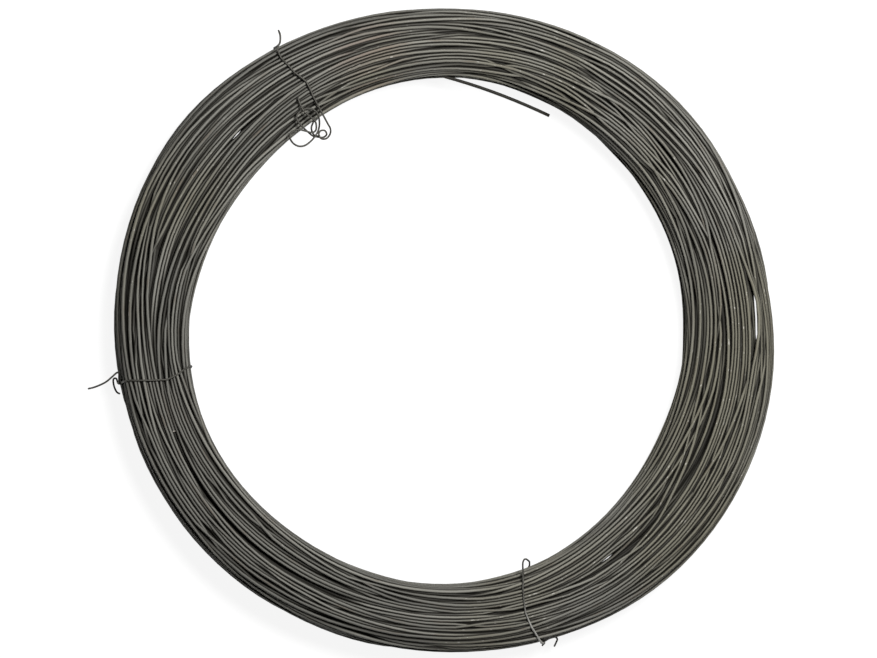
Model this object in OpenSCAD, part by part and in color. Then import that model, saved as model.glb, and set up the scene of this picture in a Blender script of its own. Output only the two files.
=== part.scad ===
// Coil of drawn steel wire, lying flat, held together by three binding wires.
// One long wire is wound into a thick ring, which has sagged a little out of round. Its turns lie
// side by side round the ring's section and show as round ridges on every side. The inner end of the
// wire springs loose into the opening.
// Millimetres. The origin is on the floor, in the middle of the ring, +Z is up and +X is its long way.

/* [Coil] */

// Diameter of the wire
wire_d = 2; // [1.6:0.1:3]

// Mean diameter of the opening between the innermost turns
eye_d = 302; // [250:1:400]

// How much longer than wide the ring is
out_of_round = 12; // [0:1:24]

// Width of the bundle of turns, from the innermost to the outermost
bundle_w = 46; // [40:1:70]

// Height of the bundle of turns
bundle_h = 36; // [32:1:50]

// Radius that rounds the corners of the bundle
corner_r = 11; // [7:1:14]

// Gap between neighbouring turns on the surface of the bundle
turn_gap = 0.06; // [0.02:0.01:0.2]

/* [Loose end] */

// Place round the ring where the inner end leaves the turns, in degrees
end_at = 90; // [60:1:120]

// Height of the loose end above the floor
end_z = 24; // [18:1:26]

// Length of the loose end
end_length = 72; // [40:1:90]

// Radius to which the loose end has sprung open
end_bend_r = 264; // [220:1:320]

// Angle by which the loose end turns inwards from the turns, in degrees
end_lean = 11; // [8:0.5:16]

/* [Binding wires] */

// Diameter of the binding wire
tie_d = 1.1; // [0.8:0.1:1.6]

// Gap between a binding wire and the turns that it lies on
seat_gap = 0.3; // [0.2:0.05:0.4]

// Gap between the two strands where the ends of a binding wire are twisted together
strand_gap = 0.1; // [0.05:0.05:0.3]

// Height of the twist on the outer wall of the coil
twist_h = 6; // [5:0.5:8]

// Unit of the binding wires' bends, of which their sways, curls and tails are multiples
bend = 1; // [0.9:0.05:1.15]

// Room beside a binding wire in the slot where it passes under the coil
slot_room = 0.3; // [0.2:0.05:0.6]

// Place of the upper left binding wire round the ring, in degrees
upper_left_at = 120; // [100:0.5:134]

// Place of the left binding wire, in degrees
left_at = 189; // [170:0.5:210]

// Place of the lower right binding wire, in degrees
lower_right_at = 286; // [270:0.5:310]

/* [Hidden] */

wire_colour = [0.36, 0.35, 0.31];
tie_colour = [0.25, 0.24, 0.22];

mid_z = bundle_h / 2;

// Four arcs make the ring: two tight ones at its ends and two flat ones at its sides. They meet at
// 45 degrees, where the middles of both lie on one line, each this far from the middle of the ring.
arc_shift = out_of_round / 2 / (2 - sqrt(2));
end_eye_r = eye_d / 2 + out_of_round / 4 - arc_shift;
side_eye_r = eye_d / 2 - out_of_round / 4 + arc_shift;

// Straight half lengths of the section's sides, which its round corners leave between them
flat_w = bundle_w / 2 - corner_r;
flat_h = bundle_h / 2 - corner_r;

// The centres of the outer turns lie on this round-cornered outline
turn_corner = corner_r - wire_d / 2;
turn_count = floor(outline_length(turn_corner) / (wire_d + turn_gap));
turn_pitch = outline_length(turn_corner) / turn_count;

// A turn stands out as the upper sides of a twelve-sided wire, one of which faces straight out
turn_side = 30;
turn_r = wire_d / 2 / cos(turn_side / 2);

// The middle line of a binding wire lies on this one
tie_r = tie_d / 2;
tie_corner = corner_r + tie_r + seat_gap;
tie_sides = 8;
slot_h = tie_d + seat_gap;

// The twist stands on the outer wall, and its two strands wind round this line
strand_r = (tie_d + strand_gap) / 2;
twist_u = bundle_w / 2 + tie_r + seat_gap + strand_r;
twist_turn = 540;
twist_steps = 18;
loop_steps = 72;
loop_start = outline_outer(tie_corner) + flat_h + twist_h / 2;
loop_length = outline_length(tie_corner) - twist_h;

// The arcs are numbered from the one at +X. Each place round the ring is on one of them.
function arc_of(at) = floor((at + 45) / 90) % 4;
function arc_eye_r(arc) = arc % 2 == 0 ? end_eye_r : side_eye_r;
function arc_mean_r(arc) = arc_eye_r(arc) + bundle_w / 2;

function quarter(p, k) = k == 0 ? p : quarter([-p.y, p.x], k - 1);
function flat_half(k) = k % 2 == 0 ? flat_w : flat_h;
function corner_length(corner) = corner * PI / 2;
function outline_length(corner) = 4 * (flat_w + flat_h + corner_length(corner));

// Distance along the outline to where the outer wall begins
function outline_outer(corner) = 2 * flat_w + corner_length(corner);

// Distance along the outline to where its top ends, near the opening
function outline_top_end(corner) = outline_outer(corner) + 2 * flat_h + corner_length(corner) + 2 * flat_w;

// Point at a distance along a round-cornered outline about the middle of the section. It runs out
// along the bottom, up the outer wall, back along the top and down the inner wall.
function outline(s, corner, side = 0) =
    let (a = flat_half(side), b = flat_half(side + 1), turn = (s - 2 * a) / corner * 180 / PI)
    s <= 2 * a ? quarter([s - a, -b - corner], side % 4)
    : turn <= 90 ? quarter([a + corner * sin(turn), -b - corner * cos(turn)], side % 4)
    : outline(s - 2 * a - corner_length(corner), corner, side + 1);

function unit(v) = v / norm(v);

// Ridge of the turn at a distance along the outline, from its one foot over its crown to the other
function ridge(s) =
    let (c = outline(s, turn_corner),
         t = unit(outline(s + 0.01, turn_corner) - outline(s - 0.01, turn_corner)),
         n = [t.y, -t.x])
    [for (k = [-2.5 : 2.5]) c + turn_r * (cos(k * turn_side) * n + sin(k * turn_side) * t)];

function level(n, t) = unit(n - (n * t) * t);
function heading(p, i) = unit(p[min(i + 1, len(p) - 1)] - p[max(i - 1, 0)]);

// Side directions along a path, each carried on from the one before with the least turning
function side_ways(p) =
    [for (i = 0, n = level([0.3, 0.5, 0.8], heading(p, 0));
          i < len(p);
          i = i + 1, n = level(n, heading(p, min(i, len(p) - 1)))) n];

// Smooth curve through hand-placed points, with a few steps from each to the next
function curve_point(a, b, c, d, t) =
    b + t / 2 * (c - a + t * (2 * a - 5 * b + 4 * c - d + t * (3 * (b - c) + d - a)));
function curve(p, steps = 4) =
    let (last = len(p) - 1)
    [for (i = [0 : last - 1]) for (j = [0 : steps - 1])
        curve_point(p[max(i - 1, 0)], p[i], p[i + 1], p[min(i + 2, last)], j / steps)];
function backwards(p) = [for (i = [len(p) - 1 : -1 : 0]) p[i]];
function after_first(p) = [for (i = [1 : len(p) - 1]) p[i]];

// A strand that follows the binding wire's outline: sway moves it along the turns and slack lifts
// it off outwards, each as [share of the way, bends]. It never goes below the floor.
function strand(from, length, sway, slack, steps) =
    [for (i = [0 : steps - 1])
        let (share = (i + 0.5) / steps, p = outline(from + share * length, tie_corner))
        [p.x + bend * lookup(share, slack), bend * lookup(share, sway), max(p.y + mid_z, tie_r)]];

// One strand of the twist, going up
function twist(phase) =
    [for (i = [0 : twist_steps])
        let (share = i / twist_steps, a = phase + twist_turn * (1 - share))
        [twist_u + strand_r * cos(a), strand_r * sin(a), mid_z + (share - 0.5) * twist_h]];

// Places measured from the outer wall at half height, and from the upper inner edge
function from_wall(p) = [for (q = p) bend * q + [bundle_w / 2, 0, mid_z]];
function from_inner_edge(p) = [for (q = p) bend * q + [-bundle_w / 2, 0, bundle_h]];

// Place on an arc, for a point given as [out from the bundle's middle, along the turns, up]
function on_arc(p, mean_r) =
    let (r = mean_r + p.x, a = p.y / r * 180 / PI)
    [r * cos(a), r * sin(a), p.z];

// A binding wire from tip to tip: low end, one strand of the twist, once round the bundle, the
// other strand, high end
function tie_path(sway, slack, low_end, high_end) = concat(
    curve(concat(from_wall(low_end), [twist(180)[0]])),
    twist(180),
    strand(loop_start, loop_length, sway, slack, loop_steps),
    twist(0),
    backwards(curve(concat(backwards(high_end), [twist(0)[twist_steps]]))));

module wire_along(p) {
    n = side_ways(p);
    last = len(p) - 1;
    points = [for (i = [0 : last]) for (k = [0 : tie_sides - 1])
        let (t = heading(p, i), a = 360 * k / tie_sides)
        p[i] + tie_r * (cos(a) * n[i] + sin(a) * cross(t, n[i]))];
    walls = [for (i = [0 : last - 1]) for (k = [0 : tie_sides - 1])
        let (a = i * tie_sides + k, b = i * tie_sides + (k + 1) % tie_sides)
        [a, a + tie_sides, b + tie_sides, b]];
    start_cap = [for (k = [0 : tie_sides - 1]) k];
    end_cap = [for (k = [tie_sides - 1 : -1 : 0]) last * tie_sides + k];
    polyhedron(points, concat([start_cap], walls, [end_cap]));
}

// Puts what is made about the middle of an arc, on its +X side, into the ring
module on_ring(at, arc) {
    rotate([0, 0, 90 * arc])
        translate([arc % 2 == 0 ? arc_shift : -arc_shift, 0, 0])
            rotate([0, 0, at - 90 * arc])
                children();
}

module tie(at, path) {
    color(tie_colour)
        on_ring(at, arc_of(at))
            wire_along([for (p = path) on_arc(p, arc_mean_r(arc_of(at)))]);
}

// Section of the bundle: a full middle with the outer turns round it
module bundle_section() {
    polygon([for (i = [0 : turn_count - 1]) each ridge((i + 0.5) * turn_pitch)]);
}

module turns() {
    for (arc = [0 : 3])
        on_ring(90 * arc - 45, arc)
            rotate_extrude(angle = 90, $fn = 180)
                translate([arc_mean_r(arc), mid_z])
                    bundle_section();
}

// The slots under the coil, in which the binding wires pass so that it lies flat
module tie_slot(at) {
    eye_r = arc_eye_r(arc_of(at));
    slot_turn = 2 * atan((tie_r + slot_room) / eye_r);
    on_ring(at - slot_turn / 2, arc_of(at))
        rotate_extrude(angle = slot_turn, $fn = 180)
            translate([eye_r - wire_d, -wire_d])
                square([bundle_w + 2 * wire_d, slot_h + wire_d]);
}

module loose_end() {
    end_turn = end_length / end_bend_r * 180 / PI;
    on_ring(end_at, arc_of(end_at))
        translate([arc_eye_r(arc_of(end_at)) + wire_d / 2, 0, end_z])
            rotate([0, 0, -end_lean])
                translate([-end_bend_r, 0, 0])
                    rotate([0, 0, -end_turn])
                        rotate_extrude(angle = end_turn, $fn = 180)
                            translate([end_bend_r, 0])
                                circle(d = wire_d, $fn = 24);
}

module wire_coil() {
    color(wire_colour) {
        difference() {
            turns();
            for (at = [upper_left_at, left_at, lower_right_at])
                tie_slot(at);
        }
        loose_end();
    }
}

// This one has no twist. It starts with a hook in the opening, passes under the bundle, is pinched out
// on the outer wall to tighten it, and lies over the top. Its long end is a tangle of curls at the
// edge of the opening, with the tip back on the top.
module tie_upper_left() {
    hook = [[-9, 7, -8.8], [-7.4, 9.6, -8.6], [-4.4, 9.8, -9.2], [-2, 8.4, -10.6]];
    pinch = [[2, 0, 4.6], [5, -1.4, 9.4], [8, -2.3, 10.8], [9, -2.5, 11.6],
             [8, -2.5, 12.4], [4.8, -1.4, 12.6], [1.6, 1.2, 13.4]];
    curls = [[-3.8, 0.8, -0.2], [-8.3, 0.8, -1.6], [-11, 2.4, -2.6], [-12.1, 5.5, -3.2], [-10.6, 8.1, -3.8],
             [-7.8, 8.2, -4.4], [-6.5, 6, -4.8], [-7.9, 3.6, -5.2], [-10.4, 3.9, -5.6], [-10.6, 6.5, -6.2],
             [-8.3, 9.4, -6.4], [-6.1, 11.6, -5], [-2.3, 13.4, -1.5], [1.8, 14.9, 0.9], [6.4, 15.6, 0.9],
             [9.2, 14.8, 0.9], [10.3, 11.7, 0.9], [9.7, 7.8, 0.9], [7.9, 4.9, 0.9], [4.9, 3.3, 0.9],
             [1.8, 3.4, 0.5], [-1.9, 4.6, -1.3], [-5.1, 6.9, -3], [-6.9, 10.3, -3], [-7.9, 14.5, -3],
             [-7.6, 19.1, -2.4], [-5.5, 22.6, -1.6], [-2.1, 24.7, -0.4], [1.4, 25.1, 0.9], [3.4, 23.6, 1],
             [3.6, 20.9, 1], [2.2, 17.7, 1], [-0.7, 14.9, 0.9], [-3.9, 12, 0.7], [-4, 9, 1],
             [0, 6.9, 1.5], [4.3, 8, 1.8], [9, 9.6, 2.3], [13.6, 9.3, 1.6], [17.9, 8.2, 1]];
    under_sway = [[0, 6.4], [0.12, 1.6], [0.18, 0], [1, 0]];
    under_start = outline_top_end(tie_corner) + corner_length(tie_corner);
    under_length = 3 * flat_h + 2 * flat_w + 2 * corner_length(tie_corner);
    under = strand(under_start, under_length, under_sway, [[0, 0], [1, 0]], 60);
    over_sway = [[0, 4.6], [0.4, 1.3], [0.65, -0.4], [0.85, 0.4], [1, 0.5]];
    over_start = outline_outer(tie_corner) + 2 * flat_h + corner_length(tie_corner) / 2;
    over_length = corner_length(tie_corner) / 2 + 2 * flat_w;
    over = strand(over_start, over_length, over_sway, [[0, 0], [1, 0]], 14);
    tie(upper_left_at, concat(
        curve(concat(from_inner_edge(hook), [under[0]])),
        under,
        after_first(curve(concat([under[len(under) - 1]], from_wall(pinch), [over[0]]))),
        over,
        backwards(curve(concat(backwards(from_inner_edge(curls)), [over[len(over) - 1]])))));
}

// A small bight stands off the wall on one side of the twist and a long tail points away from it
module tie_left() {
    sway = [[0, 0], [0.1, -0.3], [0.16, 0.9], [0.21, 1.8], [0.27, 2.6], [0.32, 0.6], [0.36, -2], [0.41, -3.4],
            [0.5, -1.4], [0.6, 0], [1, 0]];
    low_end = [[0.8, 6.6, -9.2], [2.8, 6.2, -7.8], [4.4, 4.2, -6.6], [4.2, 2.4, -5.6], [2.8, 1.2, -4.4]];
    high_end = [[2.2, -2, 4.6], [2.6, -4.6, 6], [4.4, -4.4, 6.4],
                [8, -2.2, 5.6], [12.4, -0.5, 3.6], [16.6, 0.5, -0.4], [20, 0.9, -7.6]];
    tie(left_at, tie_path(sway, [[0, 0], [1, 0]], low_end, from_wall(high_end)));
}

// This one is slack: it stands out into the opening at the upper inner edge
module tie_lower_right() {
    sway = [[0, 0], [0.02, 0.1], [0.06, -3], [0.1, -5.8], [0.16, -8.6], [0.23, -9.6], [0.3, -8.1], [0.34, -6.8],
            [0.39, -3], [0.42, 0], [0.45, 3.2], [0.48, 5], [0.51, 6.2], [0.57, 3.4], [0.62, 0], [1, 0]];
    slack = [[0, 0], [0.02, 0.2], [0.05, 1.3], [0.08, 1.1], [0.12, 0], [0.32, 0], [0.36, -1.2], [0.4, -4.4],
             [0.43, -7.4], [0.455, -8.4], [0.48, -6.6], [0.51, -3.2], [0.55, -0.6], [0.58, 0], [1, 0]];
    low_end = [[6.4, 7.2, -5], [4.8, 9.2, -6.4], [3.2, 10.6, -7],
               [1.6, 9.6, -7.4], [1.2, 6, -7], [1.6, 2.6, -5.6]];
    high_end = [[3.2, -0.9, 4.2], [4, -1.8, 5]];
    tie(lower_right_at, tie_path(sway, slack, low_end, from_wall(high_end)));
}

wire_coil();
tie_upper_left();
tie_left();
tie_lower_right();
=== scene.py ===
import bpy
import numpy as np
from mathutils import Matrix, Vector


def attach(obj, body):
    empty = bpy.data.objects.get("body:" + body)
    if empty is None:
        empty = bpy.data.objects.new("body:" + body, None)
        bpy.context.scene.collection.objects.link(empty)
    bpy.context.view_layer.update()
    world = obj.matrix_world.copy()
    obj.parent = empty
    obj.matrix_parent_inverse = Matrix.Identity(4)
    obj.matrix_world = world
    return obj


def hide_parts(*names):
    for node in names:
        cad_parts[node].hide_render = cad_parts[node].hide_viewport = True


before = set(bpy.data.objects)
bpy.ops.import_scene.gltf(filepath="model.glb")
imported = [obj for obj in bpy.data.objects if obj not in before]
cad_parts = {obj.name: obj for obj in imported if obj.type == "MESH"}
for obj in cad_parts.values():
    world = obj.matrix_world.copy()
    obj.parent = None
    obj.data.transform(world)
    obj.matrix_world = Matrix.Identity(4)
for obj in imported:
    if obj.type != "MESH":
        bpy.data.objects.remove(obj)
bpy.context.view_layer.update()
mm = 0.001
turnAll = 2 * np.pi
print("frame loaded:", sorted(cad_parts))

# The view: looking down on the coil from a little to its left, from far off
view = dict(
    tilt=12,            # degrees away from straight down, towards the left
    distance=3.0,
    frameWidth=0.5235,  # what the picture's width spans at half the coil's height
    aim=(-0.0077, 0.0018, 0.018),
    sensor=36,
    farthest=20,
)


def sightBack():
    # direction from the coil back to the camera
    tilt = np.radians(view["tilt"])
    return np.array((-np.sin(tilt), 0, np.cos(tilt)))


def placeCamera():
    # the camera's own axes: z back along the line of sight, x to the right, y up the picture
    back = Vector(sightBack())
    right = Vector((0, 1, 0)).cross(back).normalized()
    up = back.cross(right)
    data = bpy.data.cameras.new("photo_camera")
    data.sensor_width = view["sensor"]
    data.lens = data.sensor_width * view["distance"] / view["frameWidth"]
    data.clip_end = view["farthest"]
    camera = bpy.data.objects.new("photo_camera", data)
    turned = Matrix((right, up, back)).transposed().to_4x4()
    camera.matrix_world = Matrix.Translation(Vector(view["aim"]) + back * view["distance"]) @ turned
    bpy.context.scene.collection.objects.link(camera)
    bpy.context.scene.camera = camera


placeCamera()
print("camera placed")


class Knob:
    # a socket that can be added, subtracted and multiplied, which adds the Math nodes

    def __init__(self, finish, socket):
        self.finish = finish
        self.socket = socket

    def maths(self, operation, first, second):
        return self.finish.node("ShaderNodeMath", {"operation": operation}, {0: first, 1: second})

    def __add__(self, other):
        return self.maths("ADD", self, other)

    def __radd__(self, other):
        return self.maths("ADD", other, self)

    def __sub__(self, other):
        return self.maths("SUBTRACT", self, other)

    def __rsub__(self, other):
        return self.maths("SUBTRACT", other, self)

    def __mul__(self, other):
        return self.maths("MULTIPLY", self, other)

    def __rmul__(self, other):
        return self.maths("MULTIPLY", other, self)


class Finish:
    # a material, or the world, with one method that makes any node

    def __init__(self, owner):
        owner.use_nodes = True
        self.owner = owner
        self.tree = owner.node_tree
        self.tree.nodes.clear()

    def feed(self, socket, value):
        if isinstance(value, Knob):
            self.tree.links.new(value.socket, socket)
        else:
            socket.default_value = value

    def node(self, kind, settings=None, sockets=None, out=0):
        made = self.tree.nodes.new(kind)
        for key, value in (settings or {}).items():
            setattr(made, key, value)
        for key, value in (sockets or {}).items():
            self.feed(made.inputs[key], value)
        return Knob(self, made.outputs[out]) if len(made.outputs) else None

    def mixColour(self, factor, first, second):
        return self.node("ShaderNodeMix", {"data_type": "RGBA", "clamp_factor": True},
                         {0: factor, 6: first, 7: second}, out=2)

    def steps(self, value, low, high):
        # 0 below low, 1 above high, with a soft rise between them
        return self.node("ShaderNodeMapRange", {"interpolation_type": "SMOOTHSTEP"},
                         {"Value": value, "From Min": low, "From Max": high})

    def attribute(self, name, out):
        return self.node("ShaderNodeAttribute", {"attribute_name": name}, out=out)

    def stretched(self, place, times):
        # a place with each of its parts multiplied by a number of its own
        return self.node("ShaderNodeVectorMath", {"operation": "MULTIPLY"}, {0: place, 1: times})

    def cloud(self, place, scale, detail):
        # soft noise from about 0.2 to 0.8
        return self.node("ShaderNodeTexNoise", {"noise_dimensions": "3D"},
                         {"Vector": place, "Scale": scale, "Detail": detail})

    def metal(self, colour, metallic, rough, specular):
        # the surface itself, as the material's result
        shader = self.node("ShaderNodeBsdfPrincipled", None, {
            "Base Color": colour, "Metallic": metallic, "Roughness": rough,
            "Specular IOR Level": specular})
        self.node("ShaderNodeOutputMaterial", None, {"Surface": shader})
        return self.owner


def addMesh(name, points, quads, caps, places, clearOfPaintedLight):
    # one mesh from arrays, smooth, with the wire's own lengthwise and round-about places
    mesh = bpy.data.meshes.new(name)
    loops = np.concatenate([quads.ravel(), caps.ravel()]).astype(np.int32)
    sizes = np.concatenate([np.full(len(quads), 4), np.full(len(caps), caps.shape[1])])
    starts = np.concatenate([[0], np.cumsum(sizes)[:-1]]).astype(np.int32)
    mesh.vertices.add(len(points))
    mesh.vertices.foreach_set("co", points.astype(np.float32).ravel())
    mesh.loops.add(len(loops))
    mesh.loops.foreach_set("vertex_index", loops)
    mesh.polygons.add(len(sizes))
    mesh.polygons.foreach_set("loop_start", starts)
    mesh.polygons.foreach_set("use_smooth", np.arange(len(sizes)) < len(quads))
    mesh.update(calc_edges=True)
    mesh.validate()
    mesh.attributes.new("wirePlace", "FLOAT_VECTOR", "POINT")
    mesh.attributes["wirePlace"].data.foreach_set("vector", places.astype(np.float32).ravel())
    # how far each point is clear of painted light: painted shade in the gaps between turns, a painted
    # highlight on a binding wire
    mesh.attributes.new("clearOfPaintedLight", "FLOAT", "POINT")
    mesh.attributes["clearOfPaintedLight"].data.foreach_set("value", clearOfPaintedLight.astype(np.float32).ravel())
    piece = bpy.data.objects.new(name, mesh)
    bpy.context.scene.collection.objects.link(piece)
    return piece


def tubeMesh(name, line, sideA, sideB, radius, along, tone, clearOfPaintedLight):
    # a round wire: each point of the line carries a ring, centre + radius (cos a sideA + sin a sideB)
    count, sides = clearOfPaintedLight.shape
    a = np.arange(sides) / sides * turnAll
    spokes = np.cos(a)[:, None] * sideA[:, None] + np.sin(a)[:, None] * sideB[:, None]
    rings = line[:, None] + radius * spokes
    ring = np.arange(sides)
    near = np.arange(count - 1)[:, None] * sides + ring
    nearNext = np.arange(count - 1)[:, None] * sides + (ring + 1) % sides
    quads = np.stack([near, nearNext, nearNext + sides, near + sides], -1).reshape(-1, 4)
    caps = np.stack([ring[::-1], ring + (count - 1) * sides])
    places = np.stack(np.broadcast_arrays(along[:, None], a / turnAll, tone[:, None]), -1)
    return addMesh(name, rings.reshape(-1, 3), quads, caps, places.reshape(-1, 3), clearOfPaintedLight)


def lengthAlong(points):
    # distance from the first point to each, along the line through them
    return np.concatenate([[0], np.cumsum(np.linalg.norm(np.diff(points, axis=0), axis=1))])


# The coil: one wire, turn after turn, let settle into a loose bundle
coil = dict(
    wire=2.0 * mm,
    turns=330,
    stations=60,        # places round the ring where the turns settle
    finer=2,            # mesh rings from each of those places to the next
    sides=8,
    meshes=4,
    seed=7,
    toneSeed=3,
    innerMean=150.15 * mm,
    innerWaves=((6.1, 180), (1.4, 36), (1.4, -49), (1.3, 8)),    # mm and degrees, 1 to 4 waves a turn
    outerMean=198.3 * mm,
    outerWaves=((1.2, 129), (5.0, -14), (0.5, 54), (1.3, -39)),
    height=36.3 * mm,   # where the bundle is narrowest
    narrowest=40 * mm,
    slump=0.25,         # height lost for each millimetre of extra width
    squareness=(4.5, -1.5, 20),    # 2 is an oval section, more is squarer; mean, wave, degrees
    driftFar=(1.8 * mm, 1.4 * mm, 0.30),    # sideways, up and down, reach in turns
    driftNear=(0.5 * mm, 0.4 * mm, 0.06),
    driftTogether=(4.0 * mm, 2.0 * mm, 2.5, 0.06),    # strands: sideways, up and down, turns, reach
    slits=(             # gaps through the bundle: degrees, radius in mm, half length and half width
        (2.9, 189, 7.5, 0.5),
        (307.9, 166.5, 3.5, 0.4),
        (137.5, 174.6, 3.5, 0.4),
    ),
    uneven=(0.07, 1.2, 0.08),    # how far single turns stay inside the outline, turns, reach
    looseFrom=65.6,     # degrees, where the loose end's tip is
    looseTo=91.3,       # where it leaves the turns
    looseBlend=0.5,     # share of its length over which it then joins them
    looseTip=142.2 * mm,
    looseRoot=151.7 * mm,
    looseHeight=24 * mm,
    endAt=199.0,        # degrees, where the outer end is cut off, on the top
    endOut=-6 * mm,
    cutFace=0.09,       # share of a mesh ring's step that the bright cut takes up
    cutTone=3,          # tone that marks the cut, where the turns have 0 to 1
)

# How the turns settle
settling = dict(
    rounds=160,
    relist=8,           # rounds from one listing of each turn's neighbours to the next
    neighbours=11,
    again=2,            # pushes in each round
    push=0.45,          # share of an overlap that each push takes away
    even=0.25,          # how far a round evens out the turns' moves
    evenLast=0.08,      # the same in the last rounds
    evenEnds=12,        # number of those
    hold=0.35,          # share of the way back into the outline, until the last rounds go all of it
    holdEnds=6,
)

# How dark the painted shade in the gaps is: a neighbour covers a side of a turn that faces it, and that side
# is painted darker
paintedGapShade = dict(neighbours=15, reach=2.4, least=0.1, edge=0.2)    # reach and least in wires, edge a cosine

# Room at the binding wires: the turns lie a little off the floor there, and are pressed down
tieRoom = dict(at=(122, 188.5, 286.8), reach=7, lift=1.2 * mm, press=1.2 * mm)


def ringWave(mean, waves, angle):
    # mean radius plus one cosine for each number of waves round the ring
    return mean + sum(size * mm * np.cos(n * (angle - np.radians(at)))
                      for n, (size, at) in enumerate(waves, 1))


def degreesAway(angle, at):
    # how far a place round the ring lies from another, the shorter way round
    return np.abs((np.degrees(angle) - at + 180) % 360 - 180)


def nearTie(angle):
    # 1 at a binding wire, falling off on both sides as a bell
    away = [degreesAway(angle, at) for at in tieRoom["at"]]
    return np.exp(-(np.min(away, axis=0) / tieRoom["reach"]) ** 2)


def bundleShape(angle):
    # inner and outer radius, floor under the turns and height of the bundle at an angle
    inner = ringWave(coil["innerMean"], coil["innerWaves"], angle)
    outer = ringWave(coil["outerMean"], coil["outerWaves"], angle)
    squeeze = nearTie(angle)
    slumped = coil["height"] - coil["slump"] * (outer - inner - coil["narrowest"])
    return inner, outer, tieRoom["lift"] * squeeze, slumped - tieRoom["press"] * squeeze


def longWaves(frequency, reach):
    # 1 for long waves, falling as a bell for those that are shorter than the reach
    return np.exp(-0.5 * (turnAll * frequency * reach) ** 2)


def gentleNoise(rng, count, reach):
    # white noise with all that is shorter than the reach filtered out, brought to a spread of 1
    wave = np.fft.rfft(rng.normal(size=count))
    wave *= longWaves(np.fft.rfftfreq(count), reach)
    noise = np.fft.irfft(wave, count)
    return noise / noise.std()


def strandNoise(rng, turns, stations, together, reach):
    # the same over both turns and stations, so that neighbouring turns drift side by side
    wave = np.fft.rfft2(rng.normal(size=(turns, stations)))
    wave *= longWaves(np.fft.fftfreq(turns), together)[:, None]
    wave *= longWaves(np.fft.rfftfreq(stations), reach)
    noise = np.fft.irfft2(wave, (turns, stations))
    return noise / noise.std()


def startingPlaces(width, height):
    # staggered columns that fill the section, taken up one column and down the next;
    # the columns are brought closer until enough places lie inside, and spare ones are left out evenly
    count, power = coil["turns"], coil["squareness"][0]
    columnStep, closer, more, kept = 0.866, 0.998, 3, 4
    pitch = np.sqrt(width * height / count)
    inside = np.zeros((1, 1), bool)
    while inside.sum() < count:
        pitch *= closer
        columns, rows = int(width / (pitch * columnStep)) + more, int(height / pitch) + more
        column = np.arange(columns)[:, None]
        out = np.repeat((column - (columns - 1) / 2) * pitch * columnStep, rows, 1)
        up = (np.arange(rows) - rows / 2 + 0.25)[None] * pitch + (column % 2) * pitch / 2
        inside = np.abs(2 * out / width) ** power + np.abs(2 * up / height) ** power <= 1
    up[1::2] = up[1::2, ::-1]
    inside[1::2] = inside[1::2, ::-1]
    places = np.stack([out[inside], up[inside]], -1)
    spare = np.linspace(kept, len(places) - 1 - kept, len(places) - count).astype(int)
    return np.delete(places, spare, axis=0)


def slitSheets(angle, middle):
    # for each slit the sheet of sight lines that stays free: its stations, place, lean and half width
    eye = np.array(view["aim"]) + sightBack() * view["distance"]
    for at, radius, reach, half in coil["slits"]:
        away = degreesAway(angle, at)
        eyeOut = eye[0] * np.cos(angle) + eye[1] * np.sin(angle)
        lean = (eyeOut - radius * mm) / (eye[2] - view["aim"][2])
        yield np.argmin(away), away < reach, radius * mm - middle, lean, coil["wire"] / 2 + half * mm


def nearestTurns(across, count):
    # the turns that lie nearest to each turn at each station, itself among them
    square = (across ** 2).sum(-1)
    far = square[:, :, None] + square[:, None] - 2 * across @ across.transpose(0, 2, 1)
    return np.argpartition(far, count, axis=2)[:, :, :count]


def settleTurns(places, limit, angle, middle, width, floor, height):
    # over and over: even out what the turns have moved, push touching ones apart and press them
    # into the outline, where |out| ^ power + |up| ^ power is 1, and out of the slits
    turns, stations = places.shape[:2]
    wire, rounds = coil["wire"], settling["rounds"]
    mean, wave, at = coil["squareness"]
    power = (mean + wave * np.cos(angle - np.radians(at)))[:, None]
    sheets = list(slitSheets(angle, middle))
    start = places.copy()
    halfW, halfH = ((width - wire) / 2)[:, None], ((height - wire) / 2)[:, None]
    halfWay = (floor + height / 2)[:, None]
    station = np.arange(stations)[:, None, None]
    for step in range(rounds):
        if step % settling["relist"] == 0:
            near = nearestTurns(places.transpose(1, 0, 2), settling["neighbours"])
            itself = near == np.arange(turns)[None, :, None]
        even = settling["even"] if step < rounds - settling["evenEnds"] else settling["evenLast"]
        hold = settling["hold"] if step < rounds - settling["holdEnds"] else 1
        moved = (places - start).reshape(-1, 2)
        moved[1:-1] += even * (0.5 * (moved[:-2] + moved[2:]) - moved[1:-1])
        places = start + moved.reshape(places.shape)
        for again in range(settling["again"]):
            across = places.transpose(1, 0, 2)
            apart = across[:, :, None] - across[station, near]
            distance = np.sqrt((apart ** 2).sum(-1)) + 1e-9
            overlap = np.where(itself, 0, np.clip(wire - distance, 0, None))
            across = across + (apart * (settling["push"] * overlap / distance)[..., None]).sum(2)
            out, up = across[..., 0] / halfW, (across[..., 1] - halfWay) / halfH
            reached = (np.abs(out) ** power + np.abs(up) ** power) ** (1 / power)
            back = 1 + hold * (1 / np.maximum(reached / limit, 1) - 1)
            up = np.maximum(up * back, -1)
            out, up = out * back * halfW, up * halfH + halfWay
            for centre, within, place, lean, free in sheets:
                beside = out - place[:, None] - lean[:, None] * (up - view["aim"][2])
                side = np.sign(beside[centre])
                out += within[:, None] * side * np.clip(free - side * beside, 0, None)
            places = np.ascontiguousarray(np.stack([out, up], -1).transpose(1, 0, 2))
    worst = overlap.max(-1) / mm
    print("turns settled, overlap left %.3f mm, at most %.3f" % (worst.mean(), worst.max()))
    return places


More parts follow.
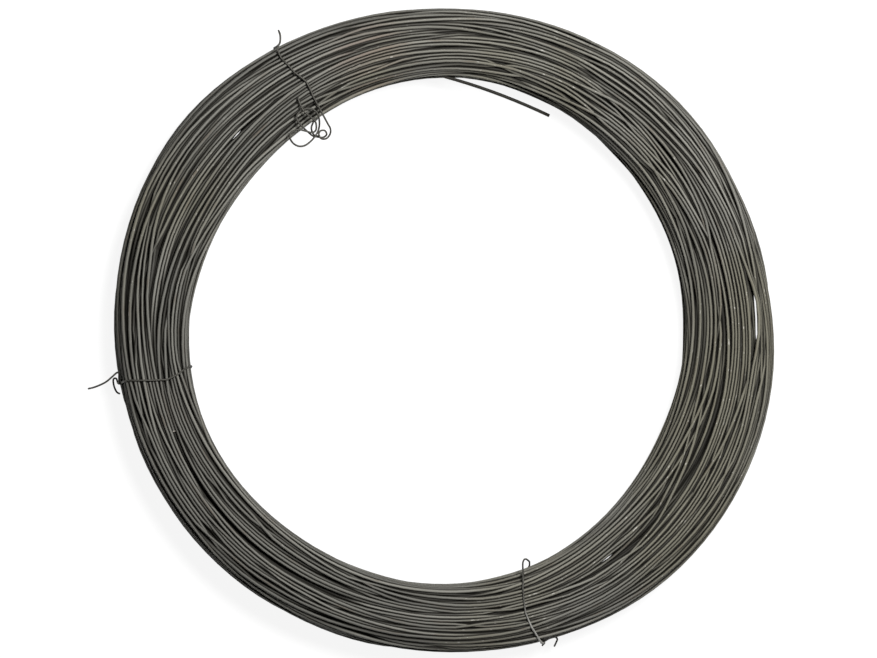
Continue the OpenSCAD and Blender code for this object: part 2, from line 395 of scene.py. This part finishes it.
def openSides(places, sides):
    # how open each side of each turn lies, which sets the painted shade: 1 less the nearest neighbour's
    # cosine, fading with its distance
    across = places.transpose(1, 0, 2)
    a = np.arange(sides) / sides * turnAll
    facing = np.stack([-np.cos(a), np.sin(a)], -1)
    near = nearestTurns(across, paintedGapShade["neighbours"])
    apart = across[np.arange(len(across))[:, None, None], near] - across[:, :, None]
    distance = np.sqrt((apart ** 2).sum(-1)) + 1e-9
    another = distance > paintedGapShade["least"] * coil["wire"]
    fade = np.clip(paintedGapShade["reach"] - distance / coil["wire"], 0, 1) * another
    towards = apart @ facing.T / distance[..., None]
    cover = np.clip((towards - paintedGapShade["edge"]) / (1 - paintedGapShade["edge"]), 0, 1) * fade[..., None]
    return (1 - cover.max(2)).transpose(1, 0, 2)


def windCoil():
    # the wire's middle line as radius and height at each station of each turn, and its open sides, which set
    # the painted shade in the gaps:
    # each turn goes from its own place in the section to the next one's, drifts and settles
    rng = np.random.default_rng(coil["seed"])
    turns, stations = coil["turns"], coil["stations"]
    angle = np.radians(coil["looseFrom"]) + turnAll * np.arange(stations) / stations
    inner, outer, floor, height = bundleShape(angle)
    width = outer - inner
    slots = startingPlaces(width.mean(), height.mean())
    slots[0] = (-0.5 * width.mean(), coil["looseHeight"] - 0.5 * height.mean())
    slots[-1] = (coil["endOut"], 0.5 * height.mean())
    share = (np.arange(stations) / stations)[None, :, None]
    onward = np.concatenate([slots[1:], slots[-1:]])
    places = slots[:, None] * (1 - share) + onward[:, None] * share
    for sideways, upDown, reach in (coil["driftFar"], coil["driftNear"]):
        drift = [size * gentleNoise(rng, turns * stations, reach * stations)
                 for size in (sideways, upDown)]
        places = places + np.stack(drift, -1).reshape(turns, stations, 2)
    sideways, upDown, together, reach = coil["driftTogether"]
    drift = [size * strandNoise(rng, turns, stations, together, reach * stations)
             for size in (sideways, upDown)]
    places = places + np.stack(drift, -1)
    places[..., 0] *= width / width.mean()
    places[..., 1] = places[..., 1] * height / height.mean() + floor + height / 2
    size, together, reach = coil["uneven"]
    limit = 1 - size * np.abs(strandNoise(rng, turns, stations, together, reach * stations).T)
    places = settleTurns(places, limit, angle, (inner + outer) / 2, width, floor, height)
    # the open sides set the painted shade in the gaps between turns
    clearOfPaintedLight = openSides(places, coil["sides"]).reshape(turns * stations, -1)
    chain = places.reshape(-1, 2)
    chain[:, 0] += np.tile((inner + outer) / 2, turns)
    return chain, clearOfPaintedLight


def finerLine(chain):
    # a smooth curve through the settled places: values half way are (9 (b + c) - a - d) / 16
    ends = np.concatenate([chain[:1], chain, chain[-1:]])
    middle = (9 * (ends[1:-2] + ends[2:-1]) - ends[:-3] - ends[3:]) / 16
    both = np.empty((len(chain) + len(middle), chain.shape[1]))
    both[0::2] = chain
    both[1::2] = middle
    return both


def springLoose(angle, line):
    # the first stretch leaves the turns: its radius rises from tip to root with the square of the way
    start, stop = np.radians(coil["looseFrom"]), np.radians(coil["looseTo"])
    way = (angle - start) / (stop - start)
    blend = np.clip((1 + coil["looseBlend"] - way) / coil["looseBlend"], 0, 1)[:, None]
    free = np.stack([coil["looseTip"] + (coil["looseRoot"] - coil["looseTip"]) * way ** 2,
                     np.full(len(way), coil["looseHeight"])], -1)
    return free * blend + line * (1 - blend)


def cutOff(values, stop):
    # values up to a place between two of them, with one more just before the cut for its bright face
    whole = np.arange(len(values))
    places = np.concatenate([whole[whole < stop - 0.5], [stop - coil["cutFace"], stop]])
    before = places.astype(int)
    share = (places - before).reshape((-1,) + (1,) * (values.ndim - 1))
    return values[before] * (1 - share) + values[before + 1] * share


def makeTurns(chain, clearOfPaintedLight):
    # tubes along the whole wire, from the loose end's tip to the cut end, shared among a few meshes
    line, clearOfPaintedLight = finerLine(chain), finerLine(clearOfPaintedLight)
    perTurn = coil["stations"] * coil["finer"]
    angle = np.radians(coil["looseFrom"]) + turnAll * np.arange(len(line)) / perTurn
    lastShare = ((coil["endAt"] - coil["looseFrom"]) % 360) / 360
    stop = (coil["turns"] - 1 + lastShare) * perTurn
    angle, line, clearOfPaintedLight = (cutOff(values, stop) for values in (angle, line, clearOfPaintedLight))
    line = springLoose(angle, line)
    points = np.stack([line[:, 0] * np.cos(angle), line[:, 0] * np.sin(angle), line[:, 1]], -1)
    outward = np.stack([np.cos(angle), np.sin(angle), np.zeros(len(angle))], -1)
    upward = np.tile((0.0, 0.0, 1.0), (len(angle), 1))
    along = lengthAlong(points)
    turnTones = np.random.default_rng(coil["toneSeed"]).random(coil["turns"] + 1)
    tone = turnTones[np.arange(len(angle)) // perTurn]
    tone[-1] = coil["cutTone"]
    cuts = np.linspace(0, len(angle) - 1, coil["meshes"] + 1).astype(int)
    pieces = []
    for number, (first, last) in enumerate(zip(cuts[:-1], cuts[1:]), 1):
        part = slice(first, last + 1)
        piece = tubeMesh("wire_turns_%d" % number, points[part], -outward[part], upward[part],
                         coil["wire"] / 2, along[part], tone[part], clearOfPaintedLight[part])
        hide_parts("wire_coil")
        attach(piece, "root")
        pieces.append(piece)
    print("wire wound: %.0f m, %d rings" % (along[-1], len(angle)))
    return pieces


chain, clearOfPaintedLight = windCoil()
turnPieces = makeTurns(chain, clearOfPaintedLight)

# The wire's finish. Patterns read the place on the wire, as [length in metres, share of the way
# round it, tone of the turn], times the numbers here. Each step is where a pattern begins and is full.
drawn = dict(
    toneTimes=(2.2, 0.0, 7.0), toneStep=(0.3, 0.7),
    darkGrey=(0.175, 0.172, 0.154, 1), paleGrey=(0.33, 0.323, 0.286, 1),
    patchScale=9.0, patchStep=(0.45, 0.72), patchMost=0.75, olive=(0.24, 0.226, 0.165, 1),
    streakTimes=(60.0, 5.0, 11.0), streakStep=(0.58, 0.75), streakMost=0.6, brown=(0.17, 0.125, 0.085, 1),
    stainAt=(-0.053, 0.163, 0.035),    # a faint brown stain on the top
    stainFrom=(0.3 * 0.032, 0.032),    # metres from there, where it is full and where it ends
    stainStep=(0.42, 0.58), stainMost=0.4, rust=(0.26, 0.17, 0.13, 1),
    # pale flecks: painted glints
    fleckTimes=(300.0, 7.0, 31.0), fleckStep=(0.7, 0.76), fleckPatch=(0.4, 0.6), fleckMost=0.8,
    fleckGlintColour=(0.72, 0.70, 0.64, 1),
    # painted shade: the colour where neighbouring turns cover a side of a turn
    gapShadeStep=(0.2, 1), gapShadeColour=(0.03, 0.028, 0.023, 1),
    cutStep=(1.2, 2.4), cutBright=(0.72, 0.66, 0.58, 1),
    metallic=0.12, specular=0.2, smoothest=0.5, rougher=0.2,
)


def drawnWire():
    # dull olive steel: each stretch of wire has its own tone, with fine streaks along it and brown patches;
    # pale flecks on it are painted glints, and painted shade darkens it where its neighbours cover it
    finish = Finish(bpy.data.materials.new("drawn_wire"))
    place = finish.attribute("wirePlace", out=1)
    where = finish.node("ShaderNodeTexCoord", out=3)
    tone = finish.cloud(finish.stretched(place, drawn["toneTimes"]), 1.0, 2.0)
    streak = finish.cloud(finish.stretched(place, drawn["streakTimes"]), 1.0, 3.0)
    fleck = finish.cloud(finish.stretched(place, drawn["fleckTimes"]), 1.0, 1.0)
    patch = finish.cloud(where, drawn["patchScale"], 3.0)
    away = finish.node("ShaderNodeVectorMath", {"operation": "DISTANCE"},
                       {0: where, 1: drawn["stainAt"]}, out=1)
    unshadedShare = finish.attribute("clearOfPaintedLight", out=2)
    turnTone = finish.node("ShaderNodeSeparateXYZ", None, {0: place}, out=2)

    olive = finish.steps(patch, *drawn["patchStep"]) * drawn["patchMost"]
    brown = finish.steps(streak, *drawn["streakStep"]) * drawn["streakMost"]
    stained = (1 - finish.steps(away, *drawn["stainFrom"])) * finish.steps(tone, *drawn["stainStep"])
    glintFlecks = finish.steps(fleck, *drawn["fleckStep"]) * finish.steps(patch, *drawn["fleckPatch"])

    colour = finish.mixColour(finish.steps(tone, *drawn["toneStep"]), drawn["darkGrey"], drawn["paleGrey"])
    colour = finish.mixColour(olive, colour, drawn["olive"])
    colour = finish.mixColour(brown, colour, drawn["brown"])
    colour = finish.mixColour(stained * drawn["stainMost"], colour, drawn["rust"])
    # painted glints: pale flecks
    colour = finish.mixColour(glintFlecks * drawn["fleckMost"], colour, drawn["fleckGlintColour"])
    # painted shade: darker where neighbouring turns cover a side of a turn
    colour = finish.mixColour(finish.steps(unshadedShare, *drawn["gapShadeStep"]), drawn["gapShadeColour"], colour)
    colour = finish.mixColour(finish.steps(turnTone, *drawn["cutStep"]), colour, drawn["cutBright"])
    rough = drawn["smoothest"] + drawn["rougher"] * streak
    return finish.metal(colour, drawn["metallic"], rough, drawn["specular"])


wireFinish = drawnWire()
for piece in turnPieces:
    piece.data.materials.append(wireFinish)
print("wire finished")

# The binding wires. Two go once round the bundle, with their ends twisted together on the outer wall.
# The upper left one starts with a hook, is pinched out on the outer wall and ends in curls.
# Ends are [out, along the turns, up] in mm, from the outer wall or from the upper inner edge.
# Sway along the turns and slack outwards are [share of the way, mm].
binding = dict(
    wire=1.1 * mm,
    gap=0.1 * mm,       # between the strands of a twist
    sides=10,
    twist=6 * mm,
    twistTurns=1.5,
    twistSteps=22,
    directions=1441,    # in which the outermost turn is looked for
    loopSteps=401,
    roundSteps=110,
    underSteps=80,
    overSteps=20,
    curveSteps=6,
    paintedHighlight=(-100, 1),   # nowhere, for a wire without a painted highlight
)
upperLeft = dict(
    name="tie_upper_left", at=122,
    innerWall=0.4545, outerTop=0.103, innerTop=0.34,    # shares of a turn, round from the outer wall
    hook=((-9, 7, -8.8), (-7.4, 9.6, -8.6), (-4.4, 9.8, -9.2), (-2, 8.4, -10.6)),
    underSway=((0, 6.4), (0.12, 1.6), (0.18, 0), (1, 0)),
    pinch=((1.6, -1.9, 4.6), (5, -3.3, 9.5), (7.4, -3.8, 10.8), (8.6, -3.9, 11.6), (7, -3.6, 12.3),
           (5.1, -2.8, 12.8), (2.2, -0.6, 13.3), (-0.2, 2.8, 14)),
    overSway=((0, 4), (0.2, 3), (0.4, 2), (0.55, 0.2), (0.68, -1.2), (0.85, -0.8), (1, 0)),
    curls=((-3.8, 0.8, -0.2), (-8.3, 0.8, -1.6), (-11, 2.4, -2.6), (-12.1, 5.5, -3.2), (-10.6, 8.1, -3.8),
           (-7.8, 8.2, -4.4), (-6.5, 6, -4.8), (-7.9, 3.6, -5.2), (-10.4, 3.9, -5.6), (-10.6, 6.5, -6.2),
           (-8.3, 9.4, -6.4), (-6.1, 11.6, -5), (-2.3, 13.4, -1.5), (1.8, 14.9, 0.9), (6.4, 15.6, 0.9),
           (9.2, 14.8, 0.9), (10.3, 11.7, 0.9), (9.7, 7.8, 0.9), (7.9, 4.9, 0.9), (4.9, 3.3, 0.9),
           (1.8, 3.4, 0.5), (-1.9, 4.6, -1.3), (-5.1, 6.9, -3), (-6.9, 10.3, -3), (-7.9, 14.5, -3),
           (-7.6, 19.1, -2.4), (-5.5, 22.6, -1.6), (-2.1, 24.7, -0.4), (1.4, 25.1, 0.9), (3.4, 23.6, 1),
           (3.6, 20.9, 1), (2.2, 17.7, 1), (-0.7, 14.9, 0.9), (-3.9, 12, 0.7), (-4, 9, 1),
           (0, 6.9, 1.5), (4.3, 8, 1.8), (9, 9.6, 2.3), (13.6, 9.3, 1.6), (17.9, 8.2, 1)),
)
left = dict(
    name="tie_left", at=188.5,
    sway=((0, 0), (0.1, -1.1), (0.16, 0.1), (0.21, 1), (0.27, 1.8), (0.32, -0.2), (0.36, -2.8),
          (0.41, -4.2), (0.5, -2), (0.6, 0), (1, 0)),
    slack=((0, 0), (1, 0)),
    lowEnd=((0.6, 6.7, -10.4), (2.2, 5.6, -9), (3.4, 3, -7), (4, -0.1, -5), (3.8, -2.6, -3.6),
            (2.2, -2.6, -3)),
    highEnd=((1.6, -3.4, 4.4), (1.4, -5.8, 4.6), (2.6, -6.2, 4.4), (5.6, -4.2, 4), (9.4, -1.8, 3),
             (13.2, -0.4, 1), (16.4, 0.5, -2.6), (18.8, 0.9, -7.6)),
)
lowerRight = dict(
    name="tie_lower_right", at=286.8,
    sway=((0, 0), (0.02, 0.1), (0.06, -2.4), (0.1, -4.7), (0.16, -7.4), (0.23, -8.5), (0.3, -7),
          (0.34, -5.7), (0.39, -2.4), (0.42, -0.6), (0.45, 1.8), (0.48, 4.2), (0.51, 6.5), (0.57, 7.2),
          (0.66, 5), (0.8, 1), (1, 0)),
    slack=((0, 0), (0.02, 0.2), (0.05, 1.3), (0.08, 1.1), (0.12, 0), (0.32, 0), (0.36, -0.8),
           (0.4, -3.2), (0.43, -5.4), (0.455, -6.2), (0.48, -5.2), (0.51, -2.6), (0.55, -0.6),
           (0.58, 0), (1, 0)),
    lowEnd=((6.4, 7.2, -5), (4.8, 9.2, -6.4), (3.2, 10.6, -7), (1.6, 9.6, -7.4), (1.2, 6, -7),
            (1.6, 2.6, -5.6)),
    highEnd=((2, -0.9, 3.8), (2.4, -1.7, 4.4)),
    paintedHighlight=(46, 13),    # mm from its lower end and reach, of its painted highlight
)


def tightLoop(at):
    # a taut wire round the section: in each direction the turn that lies farthest out, plus both radii;
    # it starts half way up the outer wall and goes over the top first
    station = (np.radians(at) - np.radians(coil["looseFrom"])) / turnAll % 1 * coil["stations"]
    first = np.arange(coil["turns"]) * coil["stations"] + int(station)
    share = station % 1
    places = chain[first] * (1 - share) + chain[np.minimum(first + 1, len(chain) - 1)] * share
    a = np.linspace(0, turnAll, binding["directions"])
    outward = np.stack([np.cos(a), np.sin(a)], -1)
    farthest = np.argmax(places @ outward.T, axis=0)
    loop = places[farthest] + outward * (coil["wire"] + binding["wire"]) / 2
    way = lengthAlong(loop)
    even = np.linspace(0, way[-1], binding["loopSteps"])
    loop = np.stack([np.interp(even, way, loop[:, 0]), np.interp(even, way, loop[:, 1])], -1)[:-1]
    middle = (loop.min(0) + loop.max(0)) / 2
    start = np.argmin(np.abs(loop[:, 1] - middle[1]) + (loop[:, 0] < middle[0]))
    return np.concatenate([loop[start:], loop[:start + 1]]), way[-1]


def alongLoop(loop, first, last, sway, slack, steps):
    # places on the loop from one share of its length to another, moved by the sway and the slack
    way = (np.arange(steps) + 0.5) / steps
    share = first + (last - first) * way
    even = np.linspace(0, 1, len(loop))
    sway, slack = np.array(sway) * (1, mm), np.array(slack) * (1, mm)
    out = np.interp(share, even, loop[:, 0]) + np.interp(way, slack[:, 0], slack[:, 1])
    up = np.maximum(np.interp(share, even, loop[:, 1]), binding["wire"] / 2)
    return np.stack([out, np.interp(way, sway[:, 0], sway[:, 1]), up], -1)


def smoothPath(*stretches):
    # a curve through given points, a cubic from each to the next with the neighbours' slopes
    points = np.concatenate(stretches)
    a = np.concatenate([points[:1], points[:-2]])[:, None]
    b, c = points[:-1, None], points[1:, None]
    d = np.concatenate([points[2:], points[-1:]])[:, None]
    t = (np.arange(binding["curveSteps"]) / binding["curveSteps"])[None, :, None]
    curve = b + t / 2 * (c - a + t * (2 * a - 5 * b + 4 * c - d + t * (3 * (b - c) + d - a)))
    return curve.reshape(-1, 3)


def carriedSides(line):
    # side directions along a line, each carried on from the one before and squared to the line again
    ahead = np.gradient(line, axis=0)
    ahead /= np.linalg.norm(ahead, axis=1)[:, None]
    slanting = (0.3, 0.5, 0.8)    # any direction that no wire starts in
    side = np.cross(ahead[0], slanting)
    carried = np.empty_like(line)
    for number, way in enumerate(ahead):
        side = side - way * (side @ way)
        side /= np.linalg.norm(side)
        carried[number] = side
    return carried, np.cross(ahead, carried)


def twistStrand(wall, phase):
    # one strand of the twist, going up beside the outer wall on a screw line
    half = binding["wire"] / 2
    strand = half + binding["gap"] / 2
    rise = np.linspace(0, 1, binding["twistSteps"])
    turned = phase + binding["twistTurns"] * turnAll * (1 - rise)
    return np.stack([wall[0] + half + strand + strand * np.cos(turned), strand * np.sin(turned),
                     wall[2] + (rise - 0.5) * binding["twist"]], -1)


def twistedTie(tie, loop, length, wall):
    # low end, one strand of the twist on the outer wall, once round the bundle, the other strand, high end
    first, second = twistStrand(wall, np.pi), twistStrand(wall, 0)
    cut = binding["twist"] / 2 / length
    lowEnd, highEnd = (np.array(tie[part]) * mm + wall for part in ("lowEnd", "highEnd"))
    return np.concatenate([
        smoothPath(lowEnd, first[:1]),
        first,
        alongLoop(loop, cut, 1 - cut, tie["sway"], tie["slack"], binding["roundSteps"]),
        second,
        smoothPath(highEnd[::-1], second[-1:])[::-1]])


def curledTie(tie, loop, wall, edge):
    # hook in the opening, under the bundle, pinched out on the outer wall, over the top, curls in the opening
    even = np.linspace(0, 1, len(loop))
    out, up = loop.T - np.array([[(wall[0] + edge[0]) / 2], [wall[2]]])
    turned = np.arctan2(up, out) / turnAll % 1
    turned[-1] = 1
    innerWall, outerTop, innerTop = (np.interp(tie[part], turned, even)
                                     for part in ("innerWall", "outerTop", "innerTop"))
    taut = ((0, 0), (1, 0))
    under = alongLoop(loop, innerWall, 1, tie["underSway"], taut, binding["underSteps"])
    over = alongLoop(loop, outerTop, innerTop, tie["overSway"], taut, binding["overSteps"])
    hook, curls = (np.array(tie[part]) * mm + edge for part in ("hook", "curls"))
    pinch = np.array(tie["pinch"]) * mm + wall
    return np.concatenate([
        smoothPath(hook, under[:1]),
        under,
        smoothPath(under[-1:], pinch, over[:1])[1:],
        over,
        smoothPath(curls[::-1], over[-1:])[::-1]])


def makeTie(tie, finish):
    # its path in [out, along the turns, up] is bent round the ring, and a tube follows it;
    # it carries a painted highlight, bright as a bell about one place
    loop, length = tightLoop(tie["at"])
    half = binding["wire"] / 2
    wall = np.array([loop[0, 0] - half, 0, loop[0, 1]])
    edge = np.array([loop[:, 0].min() + half, 0, loop[:, 1].max() - half])
    path = curledTie(tie, loop, wall, edge) if "curls" in tie else twistedTie(tie, loop, length, wall)
    angle = np.radians(tie["at"]) + path[:, 1] / path[:, 0]
    line = np.stack([path[:, 0] * np.cos(angle), path[:, 0] * np.sin(angle), path[:, 2]], -1)
    along = lengthAlong(line)
    sideA, sideB = carriedSides(line)
    middle, reach = np.array(tie.get("paintedHighlight", binding["paintedHighlight"])) * mm
    # painted highlight: 0 at its middle, rising to 1 away from it
    unglinted = np.repeat(1 - np.exp(-((along - middle) / reach) ** 2)[:, None], binding["sides"], 1)
    piece = tubeMesh(tie["name"] + "_wire", line, sideA, sideB, half, along, np.zeros(len(line)), unglinted)
    piece.data.materials.append(finish)
    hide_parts(tie["name"])
    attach(piece, "root")


annealed = dict(
    cloudScale=160.0, cloudStep=(0.35, 0.7),
    darkScale=(0.07, 0.067, 0.058, 1), paleScale=(0.13, 0.125, 0.108, 1), highlightColour=(0.62, 0.61, 0.57, 1),
    metallic=0.4, specular=0.25, smoothest=0.42, rougher=0.2,
)


def annealedWire():
    # dull dark steel with a cloudy film of scale, and a painted highlight, bright about one place
    finish = Finish(bpy.data.materials.new("binding_wire"))
    cloud = finish.cloud(finish.attribute("wirePlace", out=1), annealed["cloudScale"], 2.0)
    film = finish.steps(cloud, *annealed["cloudStep"])
    scale = finish.mixColour(film, annealed["darkScale"], annealed["paleScale"])
    unglinted = finish.attribute("clearOfPaintedLight", out=2)
    # painted highlight: a pale colour about one place
    colour = finish.mixColour(unglinted, annealed["highlightColour"], scale)
    rough = annealed["smoothest"] + annealed["rougher"] * cloud
    return finish.metal(colour, annealed["metallic"], rough, annealed["specular"])


tieFinish = annealedWire()
for tie in (upperLeft, left, lowerRight):
    makeTie(tie, tieFinish)
print("binding wires tied")

# Light: a soft lamp above and to the upper right, a dim room, and a white floor that keeps the shadow
light = dict(
    size=0.65, height=1.35, place=(0.24, 0.5), power=23.5,
    room=0.03,
    floorSize=40,
    floorGlow=0.9,      # what the floor shows by itself
    floorLit=0.25,      # how much of the lamp's light it shows on top
    floorDim=0.05,      # how much it throws back on the coil
)


def addFloor():
    # a square that shows white to the camera and in reflections, and is dark to all other rays
    half = light["floorSize"] / 2
    corners = [(-half, -half, 0), (half, -half, 0), (half, half, 0), (-half, half, 0)]
    mesh = bpy.data.meshes.new("floor")
    mesh.from_pydata(corners, [], [(0, 1, 2, 3)])
    floor = bpy.data.objects.new("floor", mesh)
    bpy.context.scene.collection.objects.link(floor)
    finish = Finish(bpy.data.materials.new("floor_white"))
    rays = finish.node("ShaderNodeLightPath").socket.node.outputs
    camera, glossy, through = (Knob(finish, rays[name]) for name in (
        "Is Camera Ray", "Is Glossy Ray", "Is Transmission Ray"))
    lit, dim = (finish.node("ShaderNodeBsdfDiffuse", None, {"Color": (grey, grey, grey, 1)})
                for grey in (light["floorLit"], light["floorDim"]))
    glow = finish.node("ShaderNodeEmission", None, {"Color": (1, 1, 1, 1), "Strength": light["floorGlow"]})
    white = finish.node("ShaderNodeAddShader", None, {0: lit, 1: glow})
    both = finish.node("ShaderNodeMixShader", None, {0: camera + glossy + through, 1: dim, 2: white})
    finish.node("ShaderNodeOutputMaterial", None, {"Surface": both})
    mesh.materials.append(finish.owner)


def addLamp():
    # a round area lamp that points straight down
    lamp = bpy.data.lights.new("overhead", "AREA")
    lamp.shape = "DISK"
    lamp.size = light["size"]
    lamp.energy = light["power"]
    holder = bpy.data.objects.new("overhead", lamp)
    holder.location = (*light["place"], light["height"])
    bpy.context.scene.collection.objects.link(holder)


def addRoom():
    # the same faint white light from every side
    world = bpy.data.worlds.new("room")
    bpy.context.scene.world = world
    finish = Finish(world)
    sky = finish.node("ShaderNodeBackground", None, {"Color": (1, 1, 1, 1), "Strength": light["room"]})
    finish.node("ShaderNodeOutputWorld", None, {"Surface": sky})


addFloor()
addLamp()
addRoom()
bpy.context.scene.view_settings.view_transform = "Standard"
print("light and floor set")
